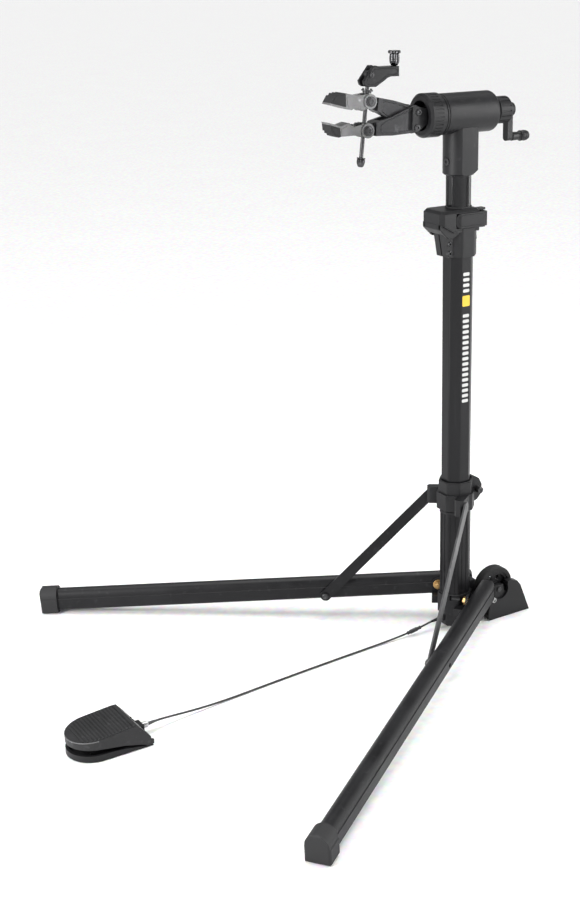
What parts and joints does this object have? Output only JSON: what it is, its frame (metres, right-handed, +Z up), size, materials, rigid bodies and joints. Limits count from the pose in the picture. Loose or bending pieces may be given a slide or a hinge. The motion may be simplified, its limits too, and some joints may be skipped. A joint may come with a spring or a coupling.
{
  "type": "bicycle repair stand",
  "caption": "Folding bicycle work stand: telescopic mast on two front legs and a rear wheeled foot, quick-cam jaw clamp and a foot pedal on a cable.",
  "frame": {"origin": "middle of the footprint on the floor, without the cable", "axes": "+Z up along the mast, +X from the rear foot to the jaws, +Y along the gripped tube"},
  "size_m": [1.001, 1.1058, 1.112],
  "materials": {
    "matte_black": "matte",
    "tube_black": "satin",
    "cast_black": "satin",
    "jaw_grey": "satin",
    "black_chrome": "polished",
    "steel": "satin",
    "yellow_zinc": "satin",
    "rubber": "matte",
    "tyre": "matte",
    "black_plastic": "matte",
    "cable_black": "satin"
  },
  "bodies": {
    "base": {"outer_tube": "matte_black", "lower_sleeve": "matte_black", "upper_guide_bush": "black_plastic", "gas_spring_cylinder": "steel", "bottom_cap": "black_plastic", "cable_gland": "steel", "base_casting": "cast_black", "rear_foot": "black_plastic", "wheel_axle": "steel", "foot_bolts": "steel", "leg_fold_bolts": "yellow_zinc", "height_clamp": "cast_black", "height_clamp_bolts": "steel", "height_lever_pin": "steel", "pedal_base": "cast_black", "pedal_hinge_pin": "steel", "pedal_ferrule": "steel", "pedal_spring": "steel", "pedal_cable": "cable_black", "cable_adjuster": "steel"},
    "mast": {"inner_tube": "tube_black", "lower_guide_bush": "black_plastic", "gas_spring_rod": "steel", "head_body": "cast_black", "neck_screw": "steel", "spindle_bushes": "black_plastic"},
    "height_lever": {"height_lever": "cast_black"},
    "clamp_head": {"spindle_yoke": "cast_black", "front_ring": "cast_black", "arm_pivot_pins": "steel"},
    "upper_arm": {"upper_arm": "cast_black"},
    "lower_arm": {"lower_arm": "cast_black"},
    "rod_carrier": {"upper_cross_pin": "steel", "cam_saddle": "black_chrome"},
    "lower_pin": {"lower_cross_pin": "steel"},
    "upper_jaw": {"upper_jaw": "jaw_grey", "upper_jaw_pad": "rubber"},
    "lower_jaw": {"lower_jaw": "jaw_grey", "lower_jaw_pad": "rubber"},
    "clamp_screw": {"clamp_rod": "black_chrome", "clamp_rod_nut": "black_chrome"},
    "cam_lever": {"cam_lever": "cast_black"},
    "lever_knob": {"lever_knob": "black_chrome"},
    "lock_knob": {"lock_knob": "black_plastic", "crank_arm": "cast_black"},
    "crank_grip": {"crank_grip": "black_plastic"},
    "wheel": {"wheel_tyre": "tyre", "wheel_rim": "black_plastic"},
    "treadle": {"pedal_treadle": "black_plastic"},
    "collar": {"sliding_collar": "cast_black", "collar_skewer": "steel", "brace_top_pins": "steel"},
    "collar_lever": {"collar_lever": "cast_black"},
    "right_leg": {"right_leg_tube": "matte_black", "right_leg_cap": "rubber"},
    "left_leg": {"left_leg_tube": "matte_black", "left_leg_cap": "rubber"},
    "right_brace": {"right_brace": "matte_black"},
    "left_brace": {"left_brace": "matte_black"}
  },
  "joints": [
    {"name": "mast_lift", "type": "slide", "parent": "base", "child": "mast", "axis": [0, 0, 1], "range_m": [-0.035, 0.38]},
    {"name": "height_lever_open", "type": "hinge", "parent": "base", "child": "height_lever", "pos_m": [-0.3695, 0.014, 0.81], "axis": [0, 0, 1], "range_deg": [0, 110]},
    {"name": "head_spin", "type": "hinge", "parent": "mast", "child": "clamp_head", "pos_m": [-0.3295, 0, 1], "axis": [1, 0, 0], "continuous": true},
    {"name": "upper_arm_open", "type": "hinge", "parent": "clamp_head", "child": "upper_arm", "pos_m": [-0.22492, 0, 0.9828], "axis": [0, -1, 0], "range_deg": [-3, 10]},
    {"name": "lower_arm_open", "type": "hinge", "parent": "clamp_head", "child": "lower_arm", "pos_m": [-0.22808, 0, 1.0086], "axis": [0, 1, 0], "range_deg": [-3, 10]},
    {"name": "rod_tilt", "type": "hinge", "parent": "upper_arm", "child": "rod_carrier", "pos_m": [-0.13346, 0, 1.0314], "axis": [0, 1, 0], "range_deg": [-3, 10]},
    {"name": "lower_pin_turn", "type": "hinge", "parent": "lower_arm", "child": "lower_pin", "pos_m": [-0.12758, 0, 0.98356], "axis": [0, -1, 0], "range_deg": [-3, 10]},
    {"name": "upper_jaw_tilt", "type": "hinge", "parent": "upper_arm", "child": "upper_jaw", "pos_m": [-0.13346, 0, 1.0314], "axis": [0, -1, 0], "range_deg": [-6, 6]},
    {"name": "lower_jaw_tilt", "type": "hinge", "parent": "lower_arm", "child": "lower_jaw", "pos_m": [-0.12758, 0, 0.98356], "axis": [0, -1, 0], "range_deg": [-6, 6]},
    {"name": "screw_spin", "type": "hinge", "parent": "rod_carrier", "child": "clamp_screw", "pos_m": [-0.13346, 0, 1.0314], "axis": [-0.1219, 0, 0.9925], "continuous": true},
    {"name": "cam_flip", "type": "hinge", "parent": "clamp_screw", "child": "cam_lever", "pos_m": [-0.13869, 0, 1.07398], "axis": [0, 1, 0], "range_deg": [0, 100]},
    {"name": "lever_knob_spin", "type": "hinge", "parent": "cam_lever", "child": "lever_knob", "pos_m": [-0.1916, 0, 1.1], "axis": [0, 0, 1], "continuous": true},
    {"name": "lock_knob_spin", "type": "hinge", "parent": "mast", "child": "lock_knob", "pos_m": [-0.3295, 0, 1], "axis": [1, 0, 0], "continuous": true},
    {"name": "crank_grip_spin", "type": "hinge", "parent": "lock_knob", "child": "crank_grip", "pos_m": [-0.4595, 0, 0.951], "axis": [1, 0, 0], "continuous": true},
    {"name": "wheel_spin", "type": "hinge", "parent": "base", "child": "wheel", "pos_m": [-0.4245, 0, 0.061], "axis": [0, 1, 0], "continuous": true},
    {"name": "pedal_press", "type": "hinge", "parent": "base", "child": "treadle", "pos_m": [0.3735, 0.036, 0.009], "axis": [0, 1, 0], "range_deg": [0, 4.5], "stiffness_Nm_per_rad": 1, "springref_deg": -20.05, "deforming": ["pedal_spring"]},
    {"name": "collar_slide", "type": "slide", "parent": "base", "child": "collar", "axis": [0, 0, 1], "range_m": [0, 0.3397]},
    {"name": "collar_lever_open", "type": "hinge", "parent": "collar", "child": "collar_lever", "pos_m": [-0.3725, -0.018, 0.285], "axis": [-1, 0, 0], "range_deg": [0, 90]},
    {"name": "right_leg_fold", "type": "hinge", "parent": "base", "child": "right_leg", "pos_m": [-0.33706, 0.06573, 0.072], "axis": [0.5842, -0.8116, 0], "range_deg": [0, 92.1]},
    {"name": "right_brace_swing", "type": "hinge", "parent": "collar", "child": "right_brace", "pos_m": [-0.3139, 0.0541, 0.272], "axis": [-0.5842, 0.8116, 0], "range_deg": [0, 42.6]},
    {"name": "left_leg_fold", "type": "hinge", "parent": "base", "child": "left_leg", "pos_m": [-0.33706, -0.06573, 0.072], "axis": [-0.5842, -0.8116, 0], "range_deg": [0, 92.1]},
    {"name": "left_brace_swing", "type": "hinge", "parent": "collar", "child": "left_brace", "pos_m": [-0.3139, -0.0541, 0.272], "axis": [0.5842, 0.8116, 0], "range_deg": [0, 42.6]}
  ],
  "couplings": [
    {"joint": "lower_arm_open", "follows": "upper_arm_open", "ratio": 1},
    {"joint": "rod_tilt", "follows": "upper_arm_open", "ratio": 1},
    {"joint": "lower_pin_turn", "follows": "upper_arm_open", "ratio": 1},
    {"joint": "right_leg_fold", "follows": "collar_slide", "rad_per_m": 4.7268},
    {"joint": "left_leg_fold", "follows": "collar_slide", "rad_per_m": 4.7268},
    {"joint": "right_brace_swing", "follows": "collar_slide", "rad_per_m": 2.1815},
    {"joint": "left_brace_swing", "follows": "collar_slide", "rad_per_m": 2.1815}
  ]
}
